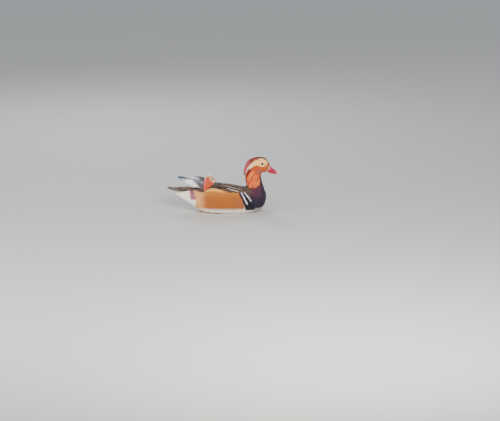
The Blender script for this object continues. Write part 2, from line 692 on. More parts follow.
# %% The flow over the body
FLOW = np.array([
    # x, distance from the middle, z, then the direction there, with + outwards for the second
    (160, 6, 152, -1, 0.9, 0.45), (150, 14, 168, -1, 0.5, 0.3), (133, 19, 176, -1, 0.1, 0.05),
    (110, 19, 172, -1, 0, -0.3), (92, 14, 158, -0.7, 0, -1), (82, 8, 140, -0.25, 0, -1),
    (145, 0, 183, -1, 0, 0.25), (112, 0, 187, -1, 0, -0.1), (86, 0, 172, -0.7, 0, -1),
    (150, 15, 146, -1, 0.5, -0.15), (122, 18, 146, -0.8, 0, -0.7), (102, 18, 140, -0.4, 0, -1),
    (130, 5, 120, -0.1, 0.15, -1), (108, 20, 124, -0.6, 0.1, -0.8), (92, 16, 118, -0.6, 0.1, -0.8),
    (114, 20, 98, -0.15, 0.1, -1), (96, 22, 98, -0.4, 0.1, -0.9), (82, 5, 105, -0.4, 0.1, -0.9),
    (141, 8, 84, 0.1, 0.4, -1), (146, 10, 56, -0.2, 0.6, -1), (132, 35, 55, -0.9, 0.45, -0.7),
    (108, 52, 55, -1, 0.15, -0.25), (84, 14, 82, -1, 0.5, -0.1), (55, 0, 80, -1, 0, 0),
    (0, 0, 86, -1, 0, 0), (40, 62, 50, -1, 0, -0.06), (-20, 64, 50, -1, 0, 0.08),
    (-80, 46, 50, -1, -0.35, 0.25), (-132, 20, 55, -1, -0.3, 0.35), (-100, 0, 80, -1, 0, -0.02),
    (125, 10, 12, -1, 0.1, -0.5), (40, 20, -2, -1, 0, 0), (-60, 20, 4, -1, 0, 0.25),
    (-120, 8, 38, -1, 0, 0.45), (-150, 6, 56, -1, 0, 0.6),
])


def flow(points):
    """The direction of the plumage at each point."""
    folded = points * [1, 0, 1] + np.abs(points) * [0, 1, 0]
    gap = np.linalg.norm(folded[:, None] - FLOW[None, :, :3], axis=2)
    weight = 1 / (gap + 6) ** 3
    way = (weight[..., None] * FLOW[None, :, 3:]).sum(1)
    way[:, 1] *= np.clip(points[:, 1] / 5, -1, 1)
    return unit(way)


def on_skin(points):
    """The nearest point of the skin to each point, and the skin's normal there."""
    found = [skin_tree.find_nearest(point)[:2] for point in points]
    return np.array([spot for spot, _ in found]), np.array([normal for _, normal in found])


def walk(roots, length, rows, sway=0.12):
    """Spines of feathers that start at the roots and follow the flow over the skin."""
    turn = chance.normal(0, sway, len(roots))[:, None]
    steps, place = [], roots
    for v, after in zip(rows, [*rows[1:], rows[-1]]):
        spot, normal = on_skin(place)
        way = flow(spot)
        way = unit(way - normal * (way * normal).sum(1, keepdims=True))
        way = unit(way * np.cos(turn) + np.cross(normal, way) * np.sin(turn))
        steps.append((spot, normal, way))
        place = spot + way * (length * (after - v))[:, None]
    return [np.stack(part, 1) for part in zip(*steps)]


print("flow at the shoulder:", flow(np.array([[50.0, 0.0, 80.0]])).round(2))

# %% [markdown]
# ## One feather, laid thousands of times
# Every feather is one ring of points repeated from root to tip: an arched upper face, a flat
# under face, and a closed root and tip. The ring is the same for all feathers of a kind, so a
# whole coat is made with arrays in one step. Each vertex carries its marking, each face corner
# its place on the vane, and a second map sets every feather down as a tiny patch where it grows
# on an unrolled skin, which is what a texture bake needs.

# %% Feather shapes
HAIR = dict(v=[0, 0.4, 0.8, 1], width=[0.6, 1, 0.72, 0.1], u=[-1, 0, 1])
SMALL = dict(v=[0, 0.35, 0.7, 0.92, 1], width=[0.5, 0.9, 1, 0.72, 0.12], u=[-1, 0, 1])
BROAD = dict(
    v=[0, 0.25, 0.5, 0.75, 0.92, 1],
    width=[0.45, 0.82, 1, 0.96, 0.66, 0.14],
    u=[-1, -0.5, 0, 0.5, 1],
)
LANCE = dict(v=[0, 0.25, 0.5, 0.75, 0.9, 1], width=[0.5, 0.85, 1, 0.75, 0.4, 0.03], u=[-1, 0, 1])
STRAP = dict(
    v=[0, 0.2, 0.4, 0.6, 0.8, 0.93, 1],
    width=[0.4, 0.7, 0.92, 1, 0.94, 0.66, 0.14],
    u=[-1, -0.5, 0, 0.5, 1],
)
QUILL = dict(
    v=[0, 0.12, 0.25, 0.38, 0.5, 0.62, 0.74, 0.84, 0.92, 0.97, 1],
    width=[0.35, 0.6, 0.8, 0.92, 1, 1, 0.96, 0.86, 0.66, 0.42, 0.1],
    u=[-1, -0.66, -0.33, 0, 0.33, 0.66, 1],
)
LOWEST = 0.1  # no feather reaches nearer the floor than this
PATCH = 0.003  # the size of one feather's place on the map for baking


def unrolled(points):
    """Where a point lies on a flat unwrap of the skin: body below, neck and head above."""
    x, y, z = points.T
    body = np.stack([(x + 180) / 335, 0.3 + 0.28 * np.arctan2(y, z - 38) / math.pi], 1)
    neck = np.stack([0.02 + 0.4 * (z - 70) / 80, 0.8 + 0.17 * np.arctan2(y, x - 106) / math.pi], 1)
    head = np.stack([0.5 + 0.46 * (x - 70) / 95, 0.8 + 0.17 * np.arctan2(y, z - 158) / math.pi], 1)
    on_head, on_neck = (z > 128) & (x > 66), (z > 86) & (x > 66)
    return np.where(on_head[:, None], head, np.where(on_neck[:, None], neck, body))


def vane_points(spine, shape, half, rise, thick, cup, roll, grow):
    """Points of every feather by row and place in the ring, and the ring's places across."""
    spots, normals, ways = spine
    count, rows = spots.shape[:2]
    v, u, width = (np.array(shape[key]) for key in ("v", "u", "width"))
    ring = len(u) + (len(u) > 3)
    across_ring = np.array([*u, 0.0])[:ring]
    half, roll, low, high = (np.broadcast_to(each, count)[:, None] for each in (half, roll, *rise))
    height = low + (high - low) * v**grow
    side = unit(np.cross(normals, ways))
    width_there = half * width
    taper = thick * (1 - 0.5 * v) * np.minimum(1, width * 2)
    points = np.empty((count, rows, ring, 3))
    for k, across in enumerate(across_ring):
        face = taper * (0.5 - 0.5 * across**2 if k < len(u) else -0.5)
        lift = height + face - width_there * (cup * across**2 - roll * across)
        points[:, :, k] = spots + side * (width_there * across)[..., None] + normals * lift[..., None]
    points[..., 2] = np.maximum(points[..., 2], LOWEST)
    return points, across_ring


print("rows of a feather:", [len(shape["v"]) for shape in (HAIR, SMALL, BROAD, LANCE, STRAP, QUILL)])

# %% [markdown]
# Thousands of separate objects would be slow to work with, so all feathers of a coat are joined
# in one mesh. An arched face is shaded smooth and the rest flat, which keeps the edges crisp.

# %% A set of feathers as one mesh
def feathers(name, spine, shape, half, rise, colour, finish, slot, nodes=(), thick=0.35, cup=0.25,
             roll=0.0, fine=None, grow=0.55, tint=1.0):
    """Builds one mesh of closed feathers. spine is (points, normals, directions) of each row."""
    points, across_ring = vane_points(spine, shape, half, rise, thick, cup, roll, grow)
    count, rows, ring = points.shape[:3]
    vane = np.empty((count, rows, ring, 2))
    vane[..., 0] = 0.5 + 0.5 * across_ring
    vane[..., 1] = np.array(shape["v"])[:, None]
    flat = unrolled(spine[0][:, 0])[:, None, None] + (vane - 0.5) * PATCH
    if callable(colour):
        colour = colour(points.reshape(-1, 3)).reshape(points.shape) * np.reshape(tint, (-1, 1, 1, 1))
    elif np.ndim(colour) == 2:
        colour = colour[:, None, None]

    quads = [(r * ring + k, r * ring + (k + 1) % ring, (r + 1) * ring + (k + 1) % ring, (r + 1) * ring + k)
             for r in range(rows - 1) for k in range(ring)]
    caps = [tuple(range(ring))[::-1], tuple((rows - 1) * ring + k for k in range(ring))]
    corners = np.array([c for face in quads + caps for c in face])
    sizes = np.array([len(face) for face in quads + caps])
    upper = [k < len(shape["u"]) - 1 for k in range(ring)]
    curved = np.array(upper * (rows - 1) + [False, False])
    stride = rows * ring
    loops = (corners[None] + np.arange(count)[:, None] * stride).ravel()
    totals = np.tile(sizes, count)
    mesh = bpy.data.meshes.new(name)
    mesh.vertices.add(count * stride)
    mesh.vertices.foreach_set("co", (points * MM).astype(np.float32).ravel())
    mesh.loops.add(len(loops))
    mesh.loops.foreach_set("vertex_index", loops.astype(np.int32))
    mesh.polygons.add(len(totals))
    mesh.polygons.foreach_set("loop_start", (np.cumsum(totals) - totals).astype(np.int32))
    mesh.polygons.foreach_set("use_smooth", np.tile(curved, count))
    store_colour(mesh, np.broadcast_to(colour, points.shape).reshape(-1, 3))
    if fine is not None:
        strength = np.repeat(fine, stride).astype(np.float32)
        mesh.attributes.new("Fine", "FLOAT", "POINT").data.foreach_set("value", strength)
    for label, layout in (("Vane", vane), ("OFBake", flat)):
        values = layout.reshape(-1, 2)[loops]
        mesh.uv_layers.new(name=label).data.foreach_set("uv", values.astype(np.float32).ravel())
    mesh.update(calc_edges=True)
    print(f"{name}: {count} feathers, {int((totals - 2).sum())} triangles")
    new_piece(name, mesh, finish, nodes)


# %% [markdown]
# Feathers grow in even rows. Random points on the skin, kept only where no earlier one is nearer
# than the spacing, are spread almost as evenly and don't line up into stripes.

# %% Spread roots evenly over a part of the skin
TRIES = 5  # random points for each root that there is room for
skin_faces = np.array([list(f.vertices) for f in skin_mesh.polygons if len(f.vertices) == 4])


def roots_where(chosen, spacing):
    """Random roots on the faces whose middles are chosen, no nearer each other than the spacing."""
    spacing = spacing * 1
    corners = skin_points[skin_faces]
    corners = corners[chosen(corners.mean(1))]
    area = np.linalg.norm(np.cross(corners[:, 2] - corners[:, 0], corners[:, 3] - corners[:, 1]), axis=1) / 2
    picks = chance.choice(len(corners), int(TRIES * area.sum() / spacing**2), p=area / area.sum())
    a, b = chance.random((2, len(picks), 1))
    quad = corners[picks]
    points = (1 - a) * ((1 - b) * quad[:, 0] + b * quad[:, 1]) + a * ((1 - b) * quad[:, 3] + b * quad[:, 2])
    taken, kept = {}, []
    around = [(i, j, k) for i in (-1, 0, 1) for j in (-1, 0, 1) for k in (-1, 0, 1)]
    for number, (cell, point) in enumerate(zip(map(tuple, np.floor(points / spacing).astype(int)), points)):
        near = (taken.get((cell[0] + i, cell[1] + j, cell[2] + k)) for i, j, k in around)
        if all(other is None or ((point - other) ** 2).sum() > spacing**2 for other in near):
            taken[cell] = point
            kept.append(number)
    return points[kept]


def of_roots(value, roots):
    """One number for each root, from a number or from a function of the roots."""
    return np.broadcast_to(value(roots) if callable(value) else value, len(roots))


def coat(name, chosen, spacing, length, half, rise, colour, shape=SMALL, finish=body_plumage,
         slot="flank_feathers", tint=0.1, fine=None, sway=0.12, thick=0.15, cup=0.1):
    """Covers a part of the skin with small feathers."""
    roots = roots_where(chosen, spacing)
    spine = walk(roots, vary(of_roots(length, roots), 0.1), shape["v"], sway)
    feathers(name, spine, shape, vary(of_roots(half, roots), 0.1), rise, colour, finish, slot,
             tint=vary(np.ones(len(roots)), tint), fine=fine and fine(roots), thick=thick, cup=cup)


print("faces that can carry roots:", len(skin_faces))

# %% [markdown]
# ## The body coat
# Feathers grow small and dense in front and longer behind: a few millimetres on the face, ten on
# the breast, and twice that on the flanks and under the tail. Each zone is one piece. The flank
# feathers also carry fine wavy dark lines, which the finish draws where the mesh says so.

# %% Zones of the body
def zone(test):
    """A choice of points by x, distance from the middle and z."""
    def chosen(points):
        x, y, z = points.T
        return test(x, np.abs(y), z)
    return chosen


def above_ruff(x, z):
    return z > height_on(RUFF_TOP, x)


def under_wing(x, side, z):
    return (x > -62) & (x < 70) & (side < 44) & (z > 72)


def on_breast(x, side, z):
    throat = (side < 27) & (z > 98) & (x < 120)
    return (x > 76) & (z > 14) & (z < 118) & ((side < 24) | (x > 108)) & ~throat


def on_flank(x, side, z):
    return (x <= 56) & (x > -96) & (z > 16) & ~under_wing(x, side, z) & ~((z > 76) & (side < 38))


def on_back(x, side, z):
    covered = under_wing(x, side, z) & (x < 50) | (x > 50) & (side > 10)
    return (z >= 70) & (x <= 82) & (x > -110) & (side < 46) & ~covered


def wavy_lines(points):
    """How strongly the flank's fine dark lines show on each feather."""
    p = Paint(points, rgb(0, 0, 0))
    return p.within(FLANK, 2) * ramp(p.x, -80, -50)


print("zones are set, and the ruff's top edge is", [z for _, z in RUFF_TOP], "mm high")

# %% [markdown]
# The narrow feathers of breast and bars keep the edge of a marking crisp. The others are broader
# and overlap like tiles, and those of flank and rear hardly turn from the flow.

# %% Coats of the body
belly = zone(lambda x, s, z: (z <= 18) & (x > -100))
rear = zone(lambda x, s, z: x <= -92)
bars = zone(lambda x, s, z: (x > 50) & (x < 112) & (s > 8) & (z > 10) & (z < 90))
neck = zone(lambda x, s, z: (x > 66) & (z > 96) & ~above_ruff(x, z))
# each line gives the spacing and the length, half width and rise of the feathers in millimetres
coat("belly_feathers", belly, 3.2, 13, 2.9, (-0.5, 0.5), body_colour, tint=0.03)
coat("flank_feathers", zone(on_flank), 2.3, 15, 2.2, (-0.5, 0.45), body_colour, fine=wavy_lines,
     tint=0.06, sway=0.05)
coat("rear_feathers", rear, 2.4, 16, 2.3, (-0.5, 0.4), body_colour, sway=0.04, tint=0.04)
coat("back_feathers", zone(on_back), 2.6, 12, 2.6, (-0.5, 0.8), body_colour)
coat("bar_feathers", bars, 1.5, 6, 1.3, (-0.4, 0.5), body_colour, shape=HAIR)
coat("breast_feathers", zone(on_breast), 1.8, 10, 1.5, (-0.4, 0.55), body_colour, shape=HAIR,
     finish=breast_plumage, tint=0.2)
coat("neck_feathers", neck, 2.1, 10, 1.5, (-0.4, 0.8), all_colour, slot="ruff_feathers")

# %% [markdown]
# ## The head coat
# The face is the part people look at first. Its feathers are the smallest of all, almost like
# fur, and leave room for the eye and the edge of the bill.

# %% Small feathers of head and cheek
def from_eye(x, z):
    return np.hypot(x - EYE[0], z - EYE[2])


def on_face(x, side, z):
    in_eye = (from_eye(x, z) < 5.3) & (side > 8)
    before_bill = x < 152 + (z - 137) * 0.7
    return above_ruff(x, z) & ~in_eye & before_bill & (x > 66)


def face_length(points):
    x, side, z = points[:, 0], np.abs(points[:, 1]), points[:, 2]
    near_eye = (1 - ramp(from_eye(x, z), 5, 12)) * (side > 8)
    return mix(mix(7.0, 3.6, ramp(x, 120, 158)), 2.8, near_eye)


def face_half(points):
    return 0.1 * face_length(points) + 0.4


coat("face_feathers", zone(on_face), 1.05, face_length, face_half, (-0.3, 0.45), head_colour, shape=HAIR,
     finish=head_plumage, slot="face_feathers", tint=0.05, thick=0.16, cup=0.15, sway=0.1)

# %% [markdown]
# ## The crest
# The crest is long silky feathers from forehead to nape that lie back over the head and hang to a
# point: coppery red above, then the cream stripe, whitest at its end. They are laid on the
# crest's own form, in many rows, so that each lies over the next.

# %% Feathers on a form
def normal_of(form, t, angle):
    step = 1e-3
    along = form(np.minimum(t + step, 1), angle) - form(np.maximum(t - step, 0), angle)
    around = form(t, angle + step) - form(t, angle - step)
    normal = unit(np.cross(around, along))
    centre = (form(t, np.zeros_like(t)) + form(t, np.full_like(t, math.pi))) / 2
    flip = np.sign(((form(t, angle) - centre) * normal).sum(-1, keepdims=True))
    return normal * np.where(flip == 0, 1, flip)


def along_form(form, t, angle, length, rows, turn=0.0):
    """Spines of feathers that start at (t, angle) of a form and run along it."""
    span = np.linalg.norm(form(t + 0.01, angle) - form(t, angle), axis=-1) / 0.01
    end = np.minimum(0.995, t + length / span)
    rows = np.array(rows)
    ts = t[:, None] + (end - t)[:, None] * rows
    angles = angle[:, None] + np.broadcast_to(turn, len(t))[:, None] * rows
    spots = form(ts, angles)
    return spots, normal_of(form, ts, angles), unit(np.gradient(spots, axis=1))


# %% [markdown]
# The crest starts as a narrow band on the forehead and widens until it wraps the nape. Each row
# has at least as many feathers as the one before, and they get shorter towards its sides.

# %% Crest
CREST_ROWS = 22
t, angle, length = [], [], []
for row in range(CREST_ROWS):
    share = row / (CREST_ROWS - 1)
    many = int(mix(9, 30, min(1, 1.6 * share)))
    spread = math.radians(np.interp(share, [0, 0.4, 0.6, 1], [50, 104, 150, 165]))
    for i in range(many):
        aside = (2 * (i + 0.5 * (row % 2)) / many) - 1
        t.append(mix(0.04, 0.67, share) + 0.02 * abs(aside) + chance.normal(0, 0.008))
        angle.append(math.pi / 2 + aside * spread + chance.normal(0, 0.03))
        length.append(mix(24, 50, math.sin(math.pi * min(1, share * 0.8))) * (1 - 0.15 * abs(aside)))
spine = along_form(crest_at, np.array(t), np.array(angle), vary(np.array(length), 0.12), LANCE["v"])
painted = head_colour(spine[0][:, 2:5].mean(1)) * vary(np.ones((len(t), 1)), 0.14)
feathers("crest", spine, LANCE, vary(np.full(len(t), 1.6), 0.15), (-2.2, 1.2), painted, crest_plumage,
         "face_feathers", thick=0.5, cup=0.3)

# %% [markdown]
# ## The ruff
# The drake's orange whiskers are narrow pointed hackles. They start on the cheek and the side of
# the neck, slant back behind and hang straight in front, and end together in a rounded lower
# edge over the breast. They part into bright locks with dark gaps between them. Each hackle finds
# its lock by walking on to the ruff's edge, so that all feathers of a lock agree.

# %% Hackles
LOCK = 5.2  # width of a lock of hackles at the ruff's edge
MANE = 7.5  # how far the hackles behind the nape stand off the neck


def to_edge(roots, farthest=76.0):
    """How far it is from each root along the flow to the ruff's edge, and at which x it gets there."""
    steps = np.linspace(0, 1, 26)
    spots = walk(roots, np.full(len(roots), farthest), steps, 0)[0]
    past = spots[:, :, 2] < height_on(RUFF_EDGE, spots[:, :, 0])
    past[:, -1] = True
    first = past.argmax(1)
    return farthest * steps[first], spots[np.arange(len(roots)), first, 0]


def ruff_roots(x, side, z):
    return (x > 66) & (x < 125 + 4 * (z > 132)) & (z > 99) & (z < 152) & (side > 4) & ~above_ruff(x, z - 4)


roots = roots_where(zone(ruff_roots), 1.7)
far, edge_x = to_edge(roots)
roots, edge_x, far = roots[far > 8], edge_x[far > 8], far[far > 8]
spine = walk(roots, vary(np.minimum(far, 31), 0.15), LANCE["v"], 0.05)
near_tip, tip = spine[0][:, 3], spine[0][:, -1]
lock = np.sin(edge_x * 2 * math.pi / LOCK + np.sin(near_tip[:, 2] * 0.12))
lock += chance.normal(0, 0.15, len(roots))
gap, bright = lock < -0.1, lock > 0.7
painted = ruff_colour(near_tip) * vary(np.ones((len(roots), 1)), 0.12)
painted[gap] *= [0.3, 0.12, 0.16]
painted[bright] = mix(painted[bright], rgb(250, 160, 84), 0.5)
high = np.where(gap, 0.4, 1.5) + 1.8 * (1 - ramp(tip[:, 2], 84, 108)) + chance.uniform(0, 0.7, len(roots))
high += MANE * (1 - ramp(tip[:, 0], 80, 94)) * ramp(tip[:, 2], 92, 108)
feathers("ruff", spine, LANCE, vary(np.full(len(roots), 1.3), 0.15), (-0.6, high), painted, hackle_plumage,
         "ruff_feathers", thick=0.24, cup=0.12, grow=0.8)

# %% [markdown]
# ## The wings
# The folded wings lie on the back in tiers. Small coverts lie in front, greater coverts and
# secondaries behind them, and the long scapulars cover their inner edge. Both wings come from the
# same numbers, with the left the mirror image of the right.

# %% Tiers of wing feathers
OLIVE, BRONZE, PURPLE_BLACK = rgb(84, 62, 48), rgb(72, 54, 46), rgb(32, 24, 34)
GREEN_BLUE, TIP_WHITE, GREY_BROWN = rgb(30, 56, 62), rgb(250, 242, 234), rgb(92, 76, 68)


def both_sides(name, spine, nodes=(), roll=0.0, **kind):
    """Lays the same feathers on the right and, mirrored, on the left."""
    for side, hand in (("right", 1), ("left", -1)):
        laid = [part * [1, hand, 1] for part in spine]
        feathers(f"{name}_{side}", laid, nodes=[node + side for node in nodes], roll=hand * roll, **kind)


def per_feather(count, shape, base, tip=None, tip_from=0.8, outer=None):
    """Colours of a set of feathers by their rows and columns."""
    v, u = np.array(shape["v"]), np.array([*shape["u"], 0.0])
    colours = np.broadcast_to(base, (count, len(v), len(u), 3)) * vary(np.ones((count, 1, 1, 1)), 0.16)
    if outer is not None:
        colours = mix(colours, outer, ramp(u, 0.3, 0.66)[None, None, :, None])
    if tip is not None:
        colours = mix(colours, tip, ramp(v, tip_from - 0.04, tip_from + 0.04)[None, :, None, None])
    return colours


def wing_tiers(name, rows, shape, low, thick, finish, nodes=(), roll=0.12, **paint):
    """Lays tiers of (t, middle, spread, count, length, half, high) on both sides of the back."""
    spines, halves, highs = [], [], []
    for t, middle, spread, count, length, half, high in rows:
        place = np.linspace(-1, 1, count)
        angle = math.pi / 2 + np.radians(middle + place * spread)
        lengths = vary(np.full(count, float(length)), 0.06)
        spines.append(along_form(back_at, t + 0.006 * place, angle, lengths, shape["v"]))
        halves.append(vary(np.full(count, half), 0.06))
        highs.append(np.full(count, high))
    spine, high = [np.concatenate(part) for part in zip(*spines)], np.concatenate(highs)
    low = np.interp(high, *low) if np.ndim(low) else low
    painted = per_feather(len(high), shape, **paint)
    both_sides(name, spine, nodes, roll, shape=shape, half=np.concatenate(halves), rise=(low, high),
               colour=painted, finish=finish, slot="wing_feathers", thick=thick)


wing_tiers("lesser_coverts", [
    (0.265, 24, 15, 8, 13, 3.4, 4.2), (0.29, 25, 16, 8, 14, 3.5, 4.4), (0.315, 26, 17, 9, 15, 3.6, 4.6),
    (0.345, 27, 17, 9, 17, 3.8, 4.8), (0.38, 28, 16, 9, 22, 4.0, 5.0),
], BROAD, ([4.2, 4.8], [0.2, 1.6]), 0.5, wing_plumage, ["wing_"], base=OLIVE, tip=OLIVE * 0.75, tip_from=0.9)
wing_tiers("greater_coverts", [(0.43, 29, 15, 8, 32, 4.4, 5.0)], STRAP, 1.8, 0.5, wing_plumage,
           base=GREY_BROWN * 0.8, tip=PURPLE_BLACK, tip_from=0.93)
wing_tiers("secondaries", [(0.49, 30, 14, 9, 50, 5.2, 5.2)], STRAP, 1.8, 0.6, quill_plumage,
           base=GREEN_BLUE, tip=TIP_WHITE, tip_from=0.93)

# %% [markdown]
# The scapulars hang from the shoulder over the folded wing. Most are bronze brown with dark ends.
# The lowest three are black with a pale outer web, which draws the fine light lines on the drake's
# back. The tertials cover the middle behind them and rise towards the sails.

# %% Scapulars and tertials
wing_tiers("scapulars", [
    (0.255, 9, 7, 5, 24, 4.6, 4.6), (0.29, 9, 8, 6, 34, 4.8, 5.8), (0.33, 10, 8, 6, 42, 4.8, 7.0),
    (0.37, 10, 9, 6, 46, 5.0, 8.6), (0.41, 10, 9, 6, 48, 5.2, 10.2), (0.45, 10, 9, 6, 50, 5.2, 11.6),
], STRAP, ([4.6, 7], [0.0, 2.4]), 0.5, wing_plumage, roll=0.1, base=BRONZE, tip=PURPLE_BLACK, tip_from=0.9)

place, angle = np.array([0.335, 0.32, 0.31]), math.pi / 2 + np.radians([36, 31, 26])
length, turn = np.array([44, 56, 68]), np.radians([-12, -14, -14])
spine = along_form(back_at, place, angle, length, QUILL["v"], turn)
edges = np.stack([TIP_WHITE, rgb(60, 46, 50), rgb(196, 172, 148)])[:, None, None]
both_sides("edged_scapulars", spine, roll=0.12, shape=QUILL, half=3.6, rise=(2.6, np.array([7.2, 9.0, 11.0])),
           colour=per_feather(3, QUILL, PURPLE_BLACK, outer=edges), finish=wing_plumage,
           slot="wing_feathers", thick=0.6)

wing_tiers("tertials", [(0.5, 12, 9, 6, 66, 5.8, 12.0)], QUILL, 4.0, 0.7, quill_plumage, roll=0.1,
           base=GREY_BROWN, outer=GREY_BROWN * 1.4)

# %% [markdown]
# On a resting drake the long flank feathers lie over the lower edge of the folded wing. Their
# tips rise to a low golden peak in front of the sail, so they are turned upwards most there.

# %% Upper edge of the flank
EDGE_FEATHERS = 12
t = np.concatenate([np.linspace(0.36, 0.55, EDGE_FEATHERS), np.linspace(0.37, 0.56, EDGE_FEATHERS)])
peak = np.exp(-(((t - 0.49) / 0.06) ** 2))
angle = math.pi / 2 + np.radians(np.repeat([53, 48], EDGE_FEATHERS))
spine = along_form(back_at, t, angle, vary(24 + 8 * peak, 0.06), STRAP["v"], turn=np.radians(-3 - 13 * peak))
paler = np.array(STRAP["v"])[None, :, None] ** 2 * (0.35 + 0.65 * peak)[:, None, None]
gold = mix(rgb(196, 120, 44), rgb(232, 168, 80), paler)[:, :, None] * vary(np.ones((len(t), 1, 1, 1)), 0.04)
over_wing = ramp(peak, 0, 0.5)
both_sides("flank_edge", spine, roll=-0.05, shape=STRAP, half=vary(np.full(len(t), 4.6), 0.08),
           rise=(0.6 + 2 * over_wing, 1.8 + 3.4 * over_wing + 2.4 * peak), colour=gold, finish=edge_plumage,
           slot="flank_feathers", thick=0.3)

# %% [markdown]
# ## Wing tips
# The folded primaries stick up past the sails. The longest lies lowest and deepest, and shorter
# ones lie over it, each stepping in along the upper edge. Their outer webs are silvery white,
# which makes the pale line under the wing tip, and their tips are blue green.

# %% Primaries
def bezier(a, b, c, v):
    v = np.asarray(v)[:, None]
    return (1 - v) ** 2 * a + 2 * v * (1 - v) * b + v**2 * c


def facing(spots, face):
    """Spines along these points whose upper faces turn towards a direction."""
    ways = unit(np.gradient(spots, axis=1))
    return spots, unit(face - ways * (ways * face).sum(-1, keepdims=True)), ways


PRIMARIES = 9
LONGEST_ROOT, SHORTEST_ROOT = np.array([-56.0, -31, 81]), np.array([-52.0, -28, 95.5])
TIP_LINE = [(-78, -24, 111), (-108, -17, 117), (-153, -9, 118)]
v, u = np.array(QUILL["v"]), np.array([*QUILL["u"], 0.0])
spots, colours = [], []
for i in range(PRIMARIES):
    share = i / (PRIMARIES - 1)
    root, tip = mix(LONGEST_ROOT, SHORTEST_ROOT, share), curve_at(TIP_LINE, 1 - share**0.9)
    sag = (root + tip) / 2 + [0, 0, -3 * (1 - share)]
    spots.append(bezier(root, sag, tip, v) + [0, -0.8 * i, 0])
    behind = -spots[-1][:, 0]
    ground = mix(rgb(116, 104, 108), rgb(106, 114, 122), ramp(behind, 78, 96)[:, None])
    ground = mix(ground, rgb(72, 98, 110), ramp(v, 0.6, 0.92)[:, None])
    inner = np.interp(behind, [86, 120, 150], [-0.9, 0.25, 0.6])[:, None]
    silver = ramp(u, inner - 0.15, inner + 0.15) * (ramp(behind, 80, 88) * (1 - ramp(v, 0.94, 1.0)))[:, None]
    silver = silver * mix(1.0, 0.1, ramp(share, 0.3, 0.6))
    web = mix(ground[:, None], rgb(252, 244, 248), silver[..., None])
    colours.append(mix(web, rgb(70, 52, 46), (ramp(u, 0.8, 1.0) * (share == 0))[None, :, None]))
spine = facing(np.stack(spots), unit(np.array([0.18, -1, 0.12])))
both_sides("primaries", spine, ["wing_tip_"], shape=QUILL, half=6.6, rise=(0.0, 0.0),
           colour=np.stack(colours), finish=quill_plumage, slot="flight_feathers", thick=0.7, cup=0.06)

# %% [markdown]
# ## The sails
# One inner tertial of each wing is broad and stands up like a sail, the drake's best-known
# feature. It is a single vane: a grid is shaped between its rear and front edges, bulged, and
# given a thickness. Its quill runs close to the rear edge, and its margin is pale at the top.

# %% Sails
SAIL_REAR = [(-66, -38, 74), (-66, -36, 96), (-61, -29, 117.5), (-45, -21, 134)]
SAIL_FRONT = [(-52, -39, 74), (-44, -38, 91), (-29, -34, 105), (-41, -28, 117.5), (-45, -21, 134)]
SAIL_BASE, SAIL_HEIGHT = 74, 60
SAIL_BULGE, SAIL_THICKNESS = 3.5, 0.8
SHAFT = 0.12  # how far across the vane the shaft runs
LEFT_SAIL_DROP = 14


def sail_colour(points, margin, hem):
    """Orange, with a pale margin in front and above, and a quill edge that is dark low down."""
    p = Paint(points, rgb(176, 70, 42))
    flat = points[:, [0, 2]]
    front_gap = line_distance(flat, curve_at(SAIL_FRONT, np.linspace(0.1, 1, 40))[:, [0, 2]])[0]
    rear_gap = line_distance(flat, curve_at(SAIL_REAR, np.linspace(0, 1, 30))[:, [0, 2]])[0]
    pale = 1 - ramp(front_gap - margin * ramp(p.z, 92, 104), 0.6, 2.2)
    p.over(pale * ramp(p.z, hem, hem + 16), rgb(244, 216, 182))
    p.over((1 - ramp(rear_gap, 1.4, 2.4)) * (1 - ramp(p.z, 108, 114)), rgb(44, 30, 40))
    p.over((1 - ramp(rear_gap, 1.4, 2.6)) * ramp(p.z, 108, 114), rgb(214, 170, 128))
    p.over(ramp(p.z, 125, 130), rgb(246, 218, 180))
    return p.colour


def sail(side, hand, drop, margin, hem):
    bm = bmesh.new()
    bmesh.ops.create_grid(bm, x_segments=36, y_segments=56, size=0.5)
    across, along = (np.array([v.co[axis] + 0.5 for v in bm.verts]) for axis in (0, 1))
    points = mix(curve_at(SAIL_REAR, along), curve_at(SAIL_FRONT, along), across[:, None])
    frill = 0.5 * np.sin(along * 40) * ramp(np.abs(across - 0.5), 0.35, 0.5)
    points[:, 1] -= SAIL_BULGE * np.sin(math.pi * across) * np.sin(math.pi * along) + frill
    painted = sail_colour(points, margin, hem)
    points += (drop * (points[:, 2] - SAIL_BASE) / SAIL_HEIGHT)[:, None] * [1, 0, -1]
    vane, paint = bm.loops.layers.uv.new("Vane"), bm.verts.layers.float_color.new("Colour")
    bm.verts.index_update()
    for face in bm.faces:
        for corner in face.loops:
            i = corner.vert.index
            corner[vane].uv = (np.interp(across[i], [0, SHAFT, 1], [0, 0.5, 1]), along[i])
    for vert, point, shade in zip(bm.verts, points, painted):
        vert.co = point * [1, hand, 1] * MM
        vert[paint] = (*shade, 1)
    bmesh.ops.recalc_face_normals(bm, faces=bm.faces)
    bmesh.ops.solidify(bm, geom=bm.verts[:] + bm.edges[:] + bm.faces[:], thickness=SAIL_THICKNESS * MM)
    mesh = mesh_of(bm, "sail_vane_" + side)
    new_piece("sail_vane_" + side, mesh, sail_plumage, ["sail_" + side])
    print("sail", side, len(mesh.polygons), "faces")


sail("right", 1, 0, margin=0.9, hem=98)
sail("left", -1, LEFT_SAIL_DROP, margin=8.0, hem=82)

# %% [markdown]
# ## The tail
# Fourteen flight feathers make a low fan, the middle pair on top. They are dark olive brown, and
# coverts from the rump hide their roots.

